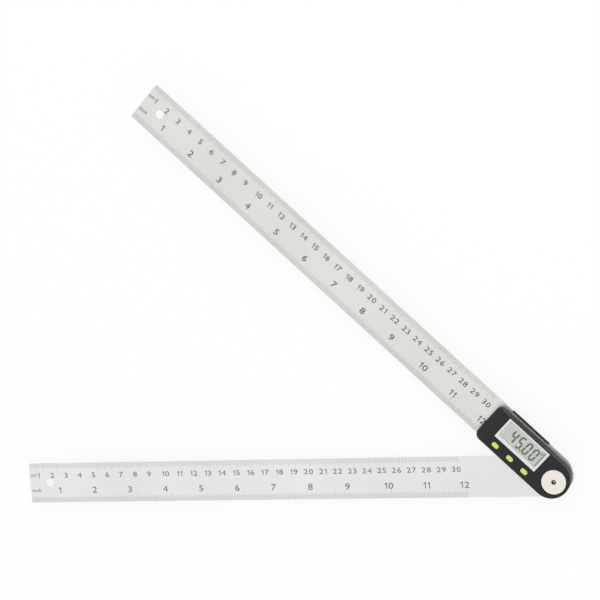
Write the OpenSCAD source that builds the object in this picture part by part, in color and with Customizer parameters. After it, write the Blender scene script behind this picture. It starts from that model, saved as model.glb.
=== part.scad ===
// Digital angle finder: two pivoted ruler arms and an electronic head.
// The pivot axis is the Z axis. The upper arm and the head lie along -X, and the
// lower arm turns under them. Z = 0 is the face of the lock knob that the part rests on.

/* [Arms] */
// Distance from the pivot axis to the free end of each arm
arm_len = 364; // [150:1:600]
// Width of each arm
blade_w = 27.3; // [26:0.1:34]
// Thickness of each arm
blade_t = 1.2; // [0.8:0.1:2]
// Distance of each arm's centre line from the pivot axis, towards its centimetre edge
blade_off = 1.2; // [0:0.1:1.6]
// Distance from the pivot axis back to the centre of the arm's round end
round_x = 4.3; // [2:0.1:5]
// Radius of the corners at the free end
tip_r = 0.6; // [0.3:0.1:3]
// Diameter of the hanging hole
hang_d = 5.8; // [3:0.1:10]
// Distance from the free end to the hanging hole
hang_x = 14; // [8:0.5:40]
// Angle between the two arms at rest
rest_angle = 45; // [0:1:180]

/* [Head] */
// Distance from the pivot axis to the square end of the head
head_len = 58.2; // [57:0.1:80]
// Width of the head, and the diameter of its round end
head_w = 25.2; // [25:0.1:28]
// Distance from the pivot axis back to the centre of the head's round end
head_round = 2.5; // [1:0.1:3]
// Height of the head above the face of the upper arm
head_h = 8; // [7.6:0.1:11]
// Wall of the front cover
wall = 1.2; // [1:0.1:1.3]
// Radius of the two upright corners at the square end
corner_r = 3.5; // [2:0.1:6]
// Rounding of the front cover's top edge
edge_r = 0.7; // [0.4:0.1:0.8]
// Length of the sloped face at the square end
slope_len = 5; // [3:0.1:5.5]
// Drop of the sloped face at the square end
slope_h = 4; // [1:0.1:5]

/* [Display] */
// Distance from the pivot axis to the near end of the display frame
frame_front = 13.7; // [13:0.1:15]
// Distance from the far end of the display frame to the sloped face
frame_back = 5.4; // [4.2:0.1:8]
// Width of the display frame
frame_w = 15.5; // [14:0.1:15.6]
// Distance of the display frame from the far side of the head
frame_side = 0.75; // [0.75:0.05:1.4]
// Thickness of the display frame's rim
frame_t = 0.8; // [0.5:0.1:1]
// Width of the rim that lies on the front cover
frame_lap = 0.5; // [0.3:0.05:0.6]
// Wall of the display frame's skirt
skirt_t = 0.35; // [0.3:0.05:0.5]
// Width of the display frame at each end
rim_end = 1.5; // [1.45:0.05:3]
// Width of the display frame along its far side
rim_far = 1.05; // [1.05:0.05:2]
// Width of the display frame along the buttons' side
rim_near = 2.5; // [1.2:0.05:3]
// Width of the lower step inside the rim along the buttons' side
rim_step_w = 1.2; // [0.3:0.05:1.6]
// Depth of that step
rim_step_t = 0.3; // [0.1:0.05:0.5]
// Thickness of the clear window
window_t = 0.7; // [0.5:0.1:1]
// Depth of the window below the frame's face
window_drop = 0.1; // [0:0.05:0.3]
// Thickness of each of the display's two glass plates
glass_t = 1.1; // [0.5:0.1:1.1]
// Width of the display's contact edge, where the lower plate is cut back
contact_w = 1.6; // [1.2:0.1:2.4]

/* [Buttons] */
// Length of a button along the arm
button_len = 5.1; // [4:0.1:7]
// Width of a button
button_w = 3; // [2.6:0.1:4.4]
// Height of a button above the front cover
button_rise = 0.6; // [0.3:0.1:1.2]
// Travel of a button
button_travel = 0.5; // [0.2:0.05:0.7]
// Distance from the near end of the display frame to the middle of the near button
button_near = 4.75; // [3.6:0.05:6]
// Distance from the far end of the display frame to the middle of the far button
button_far = 4.6; // [4.6:0.05:7]
// Distance of the row of buttons from the near side of the head
button_side = 4.5; // [4.2:0.1:5.2]
// Diameter of the stem under a button
stem_d = 2; // [1.5:0.1:2.6]
// Overhang of the flange that keeps a button in
button_lap = 0.6; // [0.3:0.1:0.8]

/* [Electronics] */
// Thickness of the circuit board
board_t = 1; // [0.8:0.1:1.6]
// Thickness of the sensor's rotor disc
rotor_t = 0.8; // [0.5:0.1:1]
// Air gap between the rotor disc and the circuit board
sensor_gap = 0.25; // [0.15:0.05:0.5]
// Diameter of a switch dome
dome_d = 4; // [3:0.1:5]
// Height of a switch dome
dome_h = 0.35; // [0.2:0.05:0.5]
// Diameter of the coin cell
cell_d = 20; // [16:0.1:20.2]
// Thickness of the coin cell
cell_t = 3.2; // [1.6:0.1:3.6]
// Thickness of the contact strip
strip_t = 0.25; // [0.15:0.05:0.4]
// Width of the contact strips
strip_w = 3.6; // [2:0.1:4.5]

/* [Rear cover] */
// Distance from the pivot axis to the near end of the rear cover
rear_front = 18.3; // [18:0.1:19]
// Depth of the rear cover behind the upper arm
rear_h = 4; // [3.9:0.1:6]
// Thickness of the side lips that stand in the upper arm's edges
lip_t = 0.9; // [0.6:0.1:1.2]
// Thickness of the rear cover's flange, which is as wide as the upper arm
seat_t = 0.8; // [0.6:0.1:1.2]
// Distance of the rear cover's side walls from the upper arm's edges
side_in = 1.3; // [0.8:0.1:1.4]
// Thickness of the battery door
door_t = 0.9; // [0.7:0.1:1.2]
// Width of the solid end of the rear cover, past the battery door
door_stop = 4.25; // [3:0.05:4.6]
// Width of the ledge on each side of the battery door
door_lap = 0.9; // [0.5:0.1:1.1]
// Number of grip grooves on the battery door
door_grooves = 4; // [2:1:6]

/* [Screws] */
// Outer diameter of a screw boss in the front cover
boss_d = 3.8; // [3.4:0.1:4]
// Diameter of a case screw's shank
screw_d = 1.5; // [1.2:0.1:1.7]
// Diameter of a case screw's head
screw_head_d = 2.8; // [2.4:0.1:3]
// Height of a case screw's head
screw_head_h = 1; // [0.6:0.1:1.4]
// Length of a case screw's shank
screw_len = 6; // [4:0.1:7]

/* [Pivot] */
// Diameter of the turned disc on the front
cap_d = 16.2; // [14:0.1:17.4]
// Thickness of the turned disc on the front
cap_t = 1.4; // [1:0.1:1.8]
// Depth of the turned disc below the front cover's face
cap_drop = 0.1; // [0:0.05:0.4]
// Diameter of the dimple in the turned disc
dimple_d = 3; // [1.5:0.1:4]
// Outer diameter of the collar behind the turned disc
collar_d = 12; // [11:0.1:12.6]
// Diameter of the hub's journal
journal_d = 10; // [8:0.1:10.4]
// Wall of the bush in the upper arm
bush_wall = 1; // [0.6:0.1:1.6]
// Thickness of the bush's flange
bush_lip = 0.5; // [0.3:0.05:0.8]
// Diameter of the hub's flange between the arms
hub_d = 18.6; // [18:0.1:20]
// Diameter of the hub's spigots
spigot_d = 7; // [6:0.1:7.6]
// Diameter of the clamp stud
stud_d = 4; // [3:0.1:4.6]
// Thickness of the friction washer
friction_t = 0.5; // [0.3:0.05:1]
// Number of the hub's screws
hub_screws_n = 3; // [2:1:4]
// Diameter of the hub's screws
hub_screw_d = 2; // [1.5:0.1:2.2]

/* [Lock knob] */
// Diameter of the lock knob
knob_d = 20; // [16:0.5:26]
// Height of the lock knob
knob_h = 6; // [5:0.1:10]
// Number of grip flutes round the lock knob
knob_flutes = 18; // [8:1:24]
// Diameter of one grip flute
flute_d = 2; // [1:0.1:2.4]
// Rounding of the lock knob's edges
knob_r = 0.8; // [0.3:0.1:1.2]
// Diameter of the threaded insert in the lock knob
insert_d = 7; // [6.4:0.1:8]
// Depth of plastic left behind the threaded insert
knob_floor = 1.4; // [1:0.1:2]
// Thickness of the thrust washer under the lower arm
thrust_t = 0.5; // [0.3:0.1:1]
// Diameter of the thrust washer under the lower arm
thrust_d = 11.4; // [9:0.1:11.6]

/* [Clearances] */
// Radial clearance of a running fit
fit = 0.05; // [0.02:0.01:0.1]
// Clearance round a piece that slides or drops in
gap = 0.15; // [0.1:0.05:0.2]
// Running clearance between the lower arm and the rear cover
run_gap = 0.4; // [0.3:0.05:0.8]
// End play of the pivot
end_play = 0.1; // [0.05:0.05:0.15]

/* [Hidden] */
$fn = 64;

// Heights, from the face of the lock knob up
z_lower = knob_h + thrust_t;
z_hub = z_lower + blade_t;
z_rear = z_hub + run_gap;
z_upper = z_rear + rear_h;
z_face = z_upper + blade_t;
z_top = z_face + head_h;
z_friction = z_upper - end_play - friction_t;
z_collar = z_face + bush_lip + end_play;
step_h = 0.3;
z_rotor = z_collar + step_h;
z_board = z_rotor + rotor_t + sensor_gap;
z_parts = z_board + board_t;
z_glass = z_top - window_drop - window_t - 2 * glass_t;
z_cap = z_top - cap_drop - cap_t;
z_door = z_rear + door_t + gap;
z_cell = z_door + end_play;

// Plan sizes
blade_y = blade_w / 2;
half_w = head_w / 2;
slice = 0.02;
frame_len = head_len - slope_len - frame_back - frame_front;
frame_x = frame_front + frame_len / 2;
frame_y = half_w - frame_side - frame_w / 2;
view_len = frame_len - 2 * rim_end;
view_w = frame_w - rim_far - rim_near;
view_y = frame_y + (rim_near - rim_far) / 2;
skirt_len = frame_len - 2 * frame_lap;
skirt_w = frame_w - 2 * frame_lap;
glass_len = skirt_len - 2 * (skirt_t + fit);
glass_w = skirt_w - 2 * (skirt_t + fit);
bush_d = journal_d + 2 * (fit + bush_wall);
step_d = collar_d + 1;
rotor_d = head_w - 2 * (wall + head_round + gap);
hub_pcd = (hub_d + thrust_d) / 2;
boss_y = half_w - wall - boss_d / 2 + 0.2;
boss_x = [frame_front - boss_d / 2 - 0.1, head_len - slope_len - boss_d / 2];
boss_low_d = boss_d - 0.8;
screw_at = [for (x = boss_x, side = [-1, 1]) [-x, side * boss_y]];
button_y = half_w - button_side;
button_pitch = (frame_len - button_near - button_far) / 2;
button_at = [for (i = [2, 1, 0]) [-frame_front - button_near - i * button_pitch, -button_y]];
rear_len = boss_x[1] - screw_head_d / 2 - gap - rear_front;
rear_x = rear_front + rear_len / 2;
door_len = rear_len - door_stop - gap;
cell_at = [-rear_x, blade_off];
pocket_d = cell_d + 0.4;
slot_w = pocket_d + 0.4;
slot_x = -rear_x - rear_len / 2;
clip_x = cell_d / 2 + strip_t + 0.9;

module tube(d_out, d_in, h) {
    difference() {
        cylinder(d = d_out, h = h);
        translate([0, 0, -1]) cylinder(d = d_in, h = h + 2);
    }
}

// One arm, flat, with its free end on -X
module arm_outline() {
    translate([0, blade_off]) {
        translate([-arm_len + tip_r, -blade_y]) square([arm_len - tip_r - round_x, blade_w]);
        translate([-arm_len, tip_r - blade_y]) square([2 * tip_r, blade_w - 2 * tip_r]);
        for (side = [-1, 1])
            translate([tip_r - arm_len, side * (blade_y - tip_r)]) circle(r = tip_r);
        translate([-round_x, 0]) circle(d = blade_w);
    }
}

module arm_blank() {
    difference() {
        linear_extrude(blade_t) arm_outline();
        translate([hang_x - arm_len, blade_off, -1]) cylinder(d = hang_d, h = blade_t + 2);
    }
}

module upper_blade() {
    color("gainsboro") translate([0, 0, z_upper]) difference() {
        arm_blank();
        translate([0, 0, -1]) {
            cylinder(d = bush_d, h = blade_t + 2);
            translate(cell_at) cylinder(d = pocket_d + gap, h = blade_t + 2);
            clip_slot(blade_t + 2);
            for (p = screw_at)
                translate(p) cylinder(d = screw_d + 2 * gap, h = blade_t + 2);
            for (side = [-1, 1])
                translate([0, blade_off + side * (blade_y - lip_t / 2)])
                    centred_box(-rear_x, 0, rear_len + 2 * gap, lip_t + 2 * gap, blade_t + 2);
        }
    }
}

// A box on the plane Z = 0, centred at x and y
module centred_box(x, y, l, w, h) {
    translate([x - l / 2, y - w / 2, 0]) cube([l, w, h]);
}

// Room beside the coin cell for the side contact
module clip_slot(h) {
    translate([cell_at[0] - clip_x, cell_at[1] - strip_w / 2 - gap, 0])
        cube([clip_x, strip_w + 2 * gap, h]);
}

// Plan of the head, drawn in by a distance, with its square end at a distance from the axis
module head_outline(inset, end_x) {
    r = max(corner_r - inset, 0.3);
    y = half_w - inset;
    translate([-head_round, 0]) circle(r = y);
    translate([-end_x + r, -y]) square([end_x - r - head_round, 2 * y]);
    translate([-end_x, r - y]) square([2 * r, 2 * y - 2 * r]);
    for (side = [-1, 1])
        translate([r - end_x, side * (y - r)]) circle(r = r);
}

// Half of the head's section across the arm, with its top edge rounded
module head_half_section() {
    square([half_w - edge_r, head_h]);
    square([half_w, head_h - edge_r]);
    translate([half_w - edge_r, head_h - edge_r]) circle(r = edge_r);
}

// The head's outer form, standing on the plane Z = 0
module head_body() {
    intersection() {
        linear_extrude(head_h) head_outline(0, head_len);
        union() {
            translate([-head_round, 0, 0]) rotate([0, 0, -90]) rotate_extrude(angle = 180)
                head_half_section();
            translate([-head_len, 0, 0]) rotate([90, 0, 90]) linear_extrude(head_len - head_round) {
                head_half_section();
                mirror([1, 0]) head_half_section();
            }
        }
        translate([0, half_w, 0]) rotate([90, 0, 0]) linear_extrude(head_w)
            polygon([[-head_len, 0], [half_w, 0], [half_w, head_h], [slope_len - head_len, head_h],
                [-head_len, head_h - slope_h]]);
    }
}

// An oval bar: the plan of a button
module oval(l, w, h) {
    centred_box(0, 0, l - w, w, h);
    for (side = [-1, 1])
        translate([side * (l - w) / 2, 0, 0]) cylinder(d = w, h = h);
}

module front_cover() {
    flat_end = head_len - slope_len;
    inner_end = head_len - wall;
    fall = slope_h / slope_len;
    low_h = head_h - slope_h + fall * wall - wall * sqrt(1 + fall * fall);
    color("#2c2b2e") difference() {
        union() {
            difference() {
                translate([0, 0, z_face]) head_body();
                translate([0, 0, z_face - 1]) {
                    linear_extrude(low_h + 1) head_outline(wall, inner_end);
                    linear_extrude(head_h - wall + 1) head_outline(wall, flat_end - wall / 2);
                }
            }
            for (p = screw_at) translate(p) {
                translate([0, 0, z_parts]) cylinder(d = boss_d, h = z_top - wall / 2 - z_parts);
                translate([0, 0, z_face]) cylinder(d = boss_low_d, h = z_parts - z_face + 1);
            }
        }
        for (p = screw_at)
            translate([p[0], p[1], z_face - 1])
                cylinder(d = screw_d + 2 * fit, h = screw_len - blade_t + 1.5);
        translate([0, 0, z_top - wall - 1]) cylinder(d = cap_d + 4 * gap, h = wall + 2);
        translate([0, 0, z_top - wall - 1])
            centred_box(-frame_x, frame_y, skirt_len + 2 * fit, skirt_w + 2 * fit, wall + 2);
        translate([0, 0, z_top - frame_t])
            centred_box(-frame_x, frame_y, frame_len + 2 * fit, frame_w + 2 * fit, wall + 2);
        for (p = button_at)
            translate([p[0], p[1], z_top - wall - 1])
                oval(button_len + 2 * gap, button_w + 2 * gap, wall + 2);
    }
}

module display_frame() {
    color("#eef0ee") difference() {
        union() {
            translate([0, 0, z_top - frame_t])
                centred_box(-frame_x, frame_y, frame_len, frame_w, frame_t);
            translate([0, 0, z_parts])
                centred_box(-frame_x, frame_y, skirt_len, skirt_w, z_top - frame_t - z_parts);
        }
        translate([0, 0, z_parts - 1])
            centred_box(-frame_x, frame_y, glass_len + 2 * fit, glass_w + 2 * fit,
                z_glass + 2 * glass_t - z_parts + 1);
        translate([0, 0, z_parts])
            centred_box(-frame_x, view_y, view_len, view_w, z_top - z_parts + 1);
        translate([0, 0, z_top - rim_step_t])
            centred_box(-frame_x, view_y - rim_step_w, view_len, view_w, 1);
    }
}

module display_window() {
    color("#dfe8e6") translate([0, 0, z_glass + 2 * glass_t])
        centred_box(-frame_x, view_y, view_len - 2 * fit, view_w - 2 * fit, window_t);
}

module display_glass() {
    color("#c9d3c8") translate([0, 0, z_glass]) {
        centred_box(-frame_x, frame_y, glass_len, glass_w - 2 * contact_w, glass_t);
        translate([0, 0, glass_t]) centred_box(-frame_x, frame_y, glass_len, glass_w, glass_t);
    }
}

module contact_rubbers() {
    rubber_w = contact_w - 2 * gap;
    color("#b9b4b0") for (side = [-1, 1])
        translate([0, 0, z_parts])
            centred_box(-frame_x, frame_y + side * (glass_w - rubber_w) / 2, glass_len - 1,
                rubber_w, z_glass + glass_t - z_parts);
}

module main_board() {
    edge = wall + 2 * gap;
    color("#2f6b43") translate([0, 0, z_board]) difference() {
        linear_extrude(board_t) head_outline(edge, head_len - edge);
        translate([0, 0, -1]) cylinder(d = collar_d + 4 * gap, h = board_t + 2);
        for (p = screw_at)
            translate([p[0], p[1], -1]) cylinder(d = boss_low_d + 2 * gap, h = board_t + 2);
    }
}

// The sealed chip, a low dome of resin under the board
module board_chip() {
    chip_r = 3.2;
    chip_h = 1;
    ball_r = (chip_r * chip_r + chip_h * chip_h) / (2 * chip_h);
    color("#1b1b1d") translate([-boss_x[0] - boss_d - chip_r, 0, z_board]) difference() {
        translate([0, 0, ball_r - chip_h]) sphere(r = ball_r);
        translate([-2 * ball_r, -2 * ball_r, 0]) cube(4 * ball_r);
    }
}

module switch_domes() {
    color("#c8c9c6") for (p = button_at)
        translate([p[0], p[1], z_parts])
            cylinder(d1 = dome_d, d2 = dome_d * 0.45, h = dome_h);
}

// A battery door's section: a plate with a ledge on each side
module door_section(play) {
    w = slot_w / 2 - play;
    low = door_t / 2 - play;
    polygon([[-w, 0], [-w, door_t - low], [-w - door_lap, door_t - low],
        [-w - door_lap, door_t], [w + door_lap, door_t],
        [w + door_lap, door_t - low], [w, door_t - low], [w, 0]]);
}

// A section drawn across the arm, run along it from x
module along_arm(x, l) {
    translate([x, blade_off, z_rear]) rotate([90, 0, 90]) linear_extrude(l) children();
}

module rear_cover() {
    edge_cut = 0.8;
    color("#262528") difference() {
        union() {
            translate([0, 0, z_rear])
                centred_box(-rear_x, blade_off, rear_len, blade_w - 2 * side_in, rear_h);
            translate([0, 0, z_upper - seat_t])
                centred_box(-rear_x, blade_off, rear_len, blade_w, seat_t);
            for (side = [-1, 1])
                translate([0, 0, z_upper - seat_t])
                    centred_box(-rear_x, blade_off + side * (blade_y - lip_t / 2), rear_len,
                        lip_t, seat_t + blade_t);
        }
        translate([0, 0, -1]) along_arm(slot_x - 1, door_len + gap + 1) {
            translate([0, door_t / 2]) square([slot_w, door_t + 2], center = true);
        }
        along_arm(slot_x - 1, door_len + gap + 1)
            translate([-slot_w / 2 - door_lap - gap, door_t / 2])
                square([slot_w + 2 * door_lap + 2 * gap, door_t / 2 + gap]);
        translate([cell_at[0], cell_at[1], z_rear]) cylinder(d = pocket_d, h = rear_h + 1);
        translate([0, 0, z_door - slice]) clip_slot(rear_h);
        for (side = [-1, 1], end = [-1, 1])
            translate([-rear_x + end * rear_len / 2, blade_off + side * (blade_y - side_in), z_rear])
                rotate([0, 0, 45]) centred_box(0, 0, edge_cut, edge_cut, rear_h - seat_t);
    }
}

module battery_door() {
    pitch = 1.6;
    color("#2a292c") difference() {
        along_arm(slot_x, door_len) door_section(gap);
        for (i = [0:door_grooves - 1])
            translate([slot_x + 3 + i * pitch, blade_off - slot_w / 4, z_rear - 1])
                cube([pitch / 2, slot_w / 2, 1.3]);
    }
}

module coin_cell() {
    rim = 0.3;
    color("#cfd0cd") translate([cell_at[0], cell_at[1], z_cell]) {
        cylinder(d = cell_d, h = cell_t - rim);
        cylinder(d = cell_d - 2.2, h = cell_t);
    }
}

// A bent strip seen from the side: each point is lifted by the strip's thickness
module strip_section(points) {
    n = len(points);
    polygon(concat(points, [for (i = [1:n]) points[n - i] + [0, strip_t]]));
}

module contact_negative() {
    top = z_board - strip_t;
    bottom = z_cell + cell_t;
    x = cell_d * [-0.17, -0.1, -0.05, 0.25, 0.4];
    color("#d2b36a") translate([cell_at[0], cell_at[1] + strip_w / 2, 0])
        rotate([90, 0, 0]) linear_extrude(strip_w)
            strip_section([[x[0], bottom + 2 * strip_t], [x[1], bottom], [x[2], bottom],
                [x[3], top], [x[4], top]]);
}

module contact_positive() {
    x = -cell_d / 2 - strip_t;
    height = z_board - z_door - 0.5;
    color("#d2b36a") translate([cell_at[0] + x, cell_at[1] - strip_w / 2, 0]) {
        translate([0, 0, z_board - height]) cube([strip_t, strip_w, height]);
        translate([-2.5, 0, z_board - strip_t]) cube([2.5 + strip_t, strip_w, strip_t]);
    }
}

module case_screws() {
    color("#9a9b9d") for (p = screw_at)
        translate([p[0], p[1], z_upper]) difference() {
            union() {
                translate([0, 0, -screw_head_h]) cylinder(d = screw_head_d, h = screw_head_h);
                cylinder(d = screw_d, h = screw_len);
            }
            for (turn = [0, 90]) rotate([0, 0, turn])
                translate([0, 0, -screw_head_h - 1])
                    centred_box(0, 0, screw_head_d * 0.6, screw_head_d / 8, 1.4);
        }
}

module pivot_bush() {
    color("#c2a14f") translate([0, 0, z_upper]) difference() {
        union() {
            cylinder(d = bush_d, h = blade_t);
            translate([0, 0, blade_t]) cylinder(d = bush_d + 2, h = bush_lip);
        }
        translate([0, 0, -1]) cylinder(d = journal_d + 2 * fit, h = blade_t + bush_lip + 2);
    }
}

// One push button: a rounded oval cap, a flange behind the cover and a stem
module button(p) {
    cap_base = z_top - wall - fit;
    flange_t = 0.6;
    dome_top = z_parts + dome_h + button_travel + fit;
    round_r = 0.5;
    color("#d9ee70") translate([p[0], p[1], 0]) {
        hull() {
            translate([0, 0, cap_base - flange_t])
                oval(button_len, button_w, wall + button_rise + flange_t - round_r);
            translate([0, 0, z_top + button_rise - round_r * 0.3])
                oval(button_len - round_r * 0.6, button_w - round_r * 0.6, slice);
            translate([0, 0, z_top + button_rise - slice])
                oval(button_len - round_r * 2, button_w - round_r * 2, slice);
        }
        translate([0, 0, cap_base - flange_t])
            oval(button_len + 2 * button_lap, button_w + 2 * button_lap, flange_t);
        translate([0, 0, dome_top]) cylinder(d = stem_d, h = cap_base - dome_top);
    }
}

module button_zero() {
    button(button_at[0]);
}

module button_hold() {
    button(button_at[1]);
}

module button_reverse() {
    button(button_at[2]);
}

// Where the hub's screws stand, turned with the lower arm, the first towards its free end
module at_hub_screws() {
    for (i = [0:hub_screws_n - 1])
        rotate([0, 0, rest_angle + 180 + i * 360 / hub_screws_n]) translate([hub_pcd / 2, 0, 0])
            children();
}

module lower_blade() {
    color("gainsboro") translate([0, 0, z_lower]) difference() {
        rotate([0, 0, rest_angle]) arm_blank();
        translate([0, 0, -1]) cylinder(d = spigot_d + 2 * fit, h = blade_t + 2);
        at_hub_screws() screw_sink();
    }
}

// A countersunk screw's outline from the plane Z = 0 up
module screw_sink() {
    cylinder(d1 = hub_screw_d * 1.8, d2 = hub_screw_d, h = hub_screw_d * 0.4);
    cylinder(d = hub_screw_d, h = blade_t + hub_screw_d * 1.2);
}

module hub_screws() {
    color("#9a9b9d") translate([0, 0, z_lower]) at_hub_screws() difference() {
        screw_sink();
        translate([0, 0, -1]) centred_box(0, 0, hub_screw_d * 2, 0.4, 1.4);
    }
}

module pivot_hub() {
    journal_top = z_face + bush_lip - end_play;
    spigot_top = z_parts + 1;
    color("#b4b6b8") difference() {
        union() {
            translate([0, 0, z_lower]) cylinder(d = spigot_d, h = spigot_top - z_lower);
            translate([0, 0, z_hub]) cylinder(d = hub_d, h = z_friction - z_hub);
            translate([0, 0, z_hub]) cylinder(d = journal_d, h = journal_top - z_hub);
        }
        translate([0, 0, z_lower - 1])
            cylinder(d = stud_d + 2 * fit, h = spigot_top - z_lower + 2);
        translate([0, 0, z_lower]) at_hub_screws() screw_sink();
    }
}

module friction_washer() {
    color("#e8e4da") translate([0, 0, z_friction])
        tube(hub_d - 2, journal_d + 2 * gap, friction_t);
}

module sensor_rotor() {
    color("#3b7a50") translate([0, 0, z_rotor]) tube(rotor_d, collar_d + 2 * fit, rotor_t);
}

// The turned disc on the front, with the collar that carries the sensor's rotor
module pivot_cap() {
    bore_h = z_parts + 1 + gap - z_collar;
    color("#f0ece6") difference() {
        union() {
            translate([0, 0, z_collar]) cylinder(d = step_d, h = step_h);
            translate([0, 0, z_collar]) cylinder(d = collar_d, h = z_cap - z_collar + cap_t / 2);
            translate([0, 0, z_cap]) cylinder(d = cap_d, h = cap_t - 0.2);
            translate([0, 0, z_cap + cap_t - 0.2]) cylinder(d1 = cap_d, d2 = cap_d - 0.4, h = 0.2);
        }
        translate([0, 0, z_collar - 1]) cylinder(d = spigot_d + 2 * fit, h = bore_h + 1);
        translate([0, 0, z_collar]) cylinder(d = stud_d, h = z_cap - z_collar + cap_t / 4);
        translate([0, 0, z_cap + cap_t]) sphere(d = dimple_d * 0.8);
        translate([0, 0, z_cap + cap_t - 0.3]) cylinder(d1 = 0, d2 = dimple_d * 2, h = 0.6);
    }
}

module clamp_stud() {
    bottom = knob_floor + 0.5;
    color("#8f9193") translate([0, 0, bottom])
        cylinder(d = stud_d, h = z_cap + cap_t / 4 - bottom);
}

module thrust_washer() {
    color("#b4b6b8") translate([0, 0, knob_h]) tube(thrust_d, stud_d + 2 * gap, thrust_t);
}

module lock_knob() {
    color("#232225") difference() {
        rotate_extrude() knob_section();
        translate([0, 0, knob_floor]) cylinder(d = insert_d, h = knob_h);
        for (i = [0:knob_flutes - 1])
            rotate([0, 0, i * 360 / knob_flutes]) translate([knob_d / 2 + flute_d / 4, 0, -1])
                cylinder(d = flute_d, h = knob_h + 2, $fn = 24);
    }
}

// Half of the lock knob's section, with rounded rims
module knob_section() {
    r = knob_d / 2;
    square([r - knob_r, knob_h]);
    translate([0, knob_r]) square([r, knob_h - 2 * knob_r]);
    for (z = [knob_r, knob_h - knob_r])
        translate([r - knob_r, z]) circle(r = knob_r);
}

module knob_insert() {
    color("#c2a14f") translate([0, 0, knob_floor])
        tube(insert_d, stud_d + 2 * fit, knob_h - knob_floor);
}

upper_blade();
front_cover();
display_frame();
display_window();
display_glass();
contact_rubbers();
main_board();
board_chip();
switch_domes();
rear_cover();
coin_cell();
contact_negative();
contact_positive();
case_screws();
pivot_bush();
battery_door();
button_zero();
button_hold();
button_reverse();
lower_blade();
pivot_hub();
hub_screws();
friction_washer();
sensor_rotor();
pivot_cap();
clamp_stud();
thrust_washer();
lock_knob();
knob_insert();
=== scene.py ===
"""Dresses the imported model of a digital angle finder: its finishes, graduations and display."""

import math

import bpy
from mathutils import Matrix, Vector


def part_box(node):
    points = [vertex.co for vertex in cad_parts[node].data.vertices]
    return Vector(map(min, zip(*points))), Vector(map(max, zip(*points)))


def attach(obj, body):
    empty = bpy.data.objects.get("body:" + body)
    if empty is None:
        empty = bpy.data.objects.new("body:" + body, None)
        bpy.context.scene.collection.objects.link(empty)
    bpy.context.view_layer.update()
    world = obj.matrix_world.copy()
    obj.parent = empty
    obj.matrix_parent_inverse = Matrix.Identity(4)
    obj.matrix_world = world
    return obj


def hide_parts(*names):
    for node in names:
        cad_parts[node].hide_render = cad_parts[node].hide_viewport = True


bl_info = {
    "name": "Angle Finder Looks",
    "version": (1, 0, 0),
    "blender": (4, 5, 0),
    "location": "View3D > Sidebar > Angle Finder",
    "description": "Finishes, graduations, display and stage for a digital angle finder",
    "category": "Object",
}

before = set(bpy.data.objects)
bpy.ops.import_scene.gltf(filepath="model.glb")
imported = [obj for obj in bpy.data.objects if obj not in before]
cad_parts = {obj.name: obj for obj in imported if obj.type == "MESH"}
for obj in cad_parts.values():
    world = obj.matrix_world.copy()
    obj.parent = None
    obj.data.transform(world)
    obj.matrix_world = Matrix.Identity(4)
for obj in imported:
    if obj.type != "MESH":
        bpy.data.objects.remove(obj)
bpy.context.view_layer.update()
MM = 0.001

HEAD = "head_and_upper_arm"
LOWER = "lower_arm"
ARM_ANGLE = math.radians(45)
HEAD_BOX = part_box("front_cover")
BLADE_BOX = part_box("upper_blade")
LOWER_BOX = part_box("lower_blade")
GLASS_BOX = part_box("display_glass")
WINDOW_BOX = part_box("display_window")

# The upper arm's free end, centre line and half width, and the front faces that carry ink
ARM_START = BLADE_BOX[0][0]
ARM_MIDDLE = (BLADE_BOX[0][1] + BLADE_BOX[1][1]) / 2
ARM_HALF = (BLADE_BOX[1][1] - BLADE_BOX[0][1]) / 2
ARM_FACE, LOWER_FACE, GLASS_TOP = BLADE_BOX[1][2], LOWER_BOX[1][2], GLASS_BOX[1][2]

# ---------------------------------------------------------------- settings


class FinishSettings(bpy.types.PropertyGroup):
    """Colours of the finishes, as sRGB hex values."""

    steel: bpy.props.StringProperty(
        name="Upper steel", description="Colour of the upper arm's steel", default="#eaebe6"
    )
    # The lower arm is the same steel as the upper arm; its lighter colour is painted light
    lower_steel: bpy.props.StringProperty(
        name="Lower steel", description="Colour of the lower arm's steel", default="#f2f2f2"
    )
    ink: bpy.props.StringProperty(
        name="Ink", description="Colour of the etched and filled graduations", default="#4a4a46"
    )
    worn_ink: bpy.props.StringProperty(
        name="Worn ink",
        description="Colour of the paler graduations on the lower arm",
        default="#666662",
    )
    cover: bpy.props.StringProperty(
        name="Cover", description="Colour of the head's plastic", default="#0f0e10"
    )
    button: bpy.props.StringProperty(
        name="Button", description="Colour of the push buttons", default="#cbdb6c"
    )
    bezel: bpy.props.StringProperty(
        name="Frame", description="Colour of the frame round the display", default="#dadcd9"
    )
    display: bpy.props.StringProperty(
        name="Display", description="Colour of the display's background", default="#e6efe3"
    )
    segment: bpy.props.StringProperty(
        name="Segment", description="Colour of the display's dark segments", default="#5a665d"
    )


class ScaleSettings(bpy.types.PropertyGroup):
    """Sizes of the graduations on the arms."""

    line: bpy.props.FloatProperty(
        name="Line", description="Width of one graduation line", default=0.13 * MM, unit="LENGTH"
    )
    raised: bpy.props.FloatProperty(
        name="Raised", description="Height of the ink above the steel", default=0.015 * MM, unit="LENGTH"
    )
    cm_height: bpy.props.FloatProperty(
        name="Centimetre numeral",
        description="Height of a centimetre numeral",
        default=3.6 * MM,
        unit="LENGTH",
    )
    inch_height: bpy.props.FloatProperty(
        name="Inch numeral",
        description="Height of an inch numeral",
        default=4.3 * MM,
        unit="LENGTH",
    )
    stretch: bpy.props.FloatProperty(
        name="Stretch", description="Width of the numerals against the plain font's", default=1.2
    )
    cm_row: bpy.props.FloatProperty(
        name="Centimetre row",
        description="Distance of the centimetre numerals from the arm's centre line",
        default=5.2 * MM,
        unit="LENGTH",
    )
    inch_row: bpy.props.FloatProperty(
        name="Inch row",
        description="Distance of the inch numerals from the arm's centre line",
        default=5.15 * MM,
        unit="LENGTH",
    )


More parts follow.
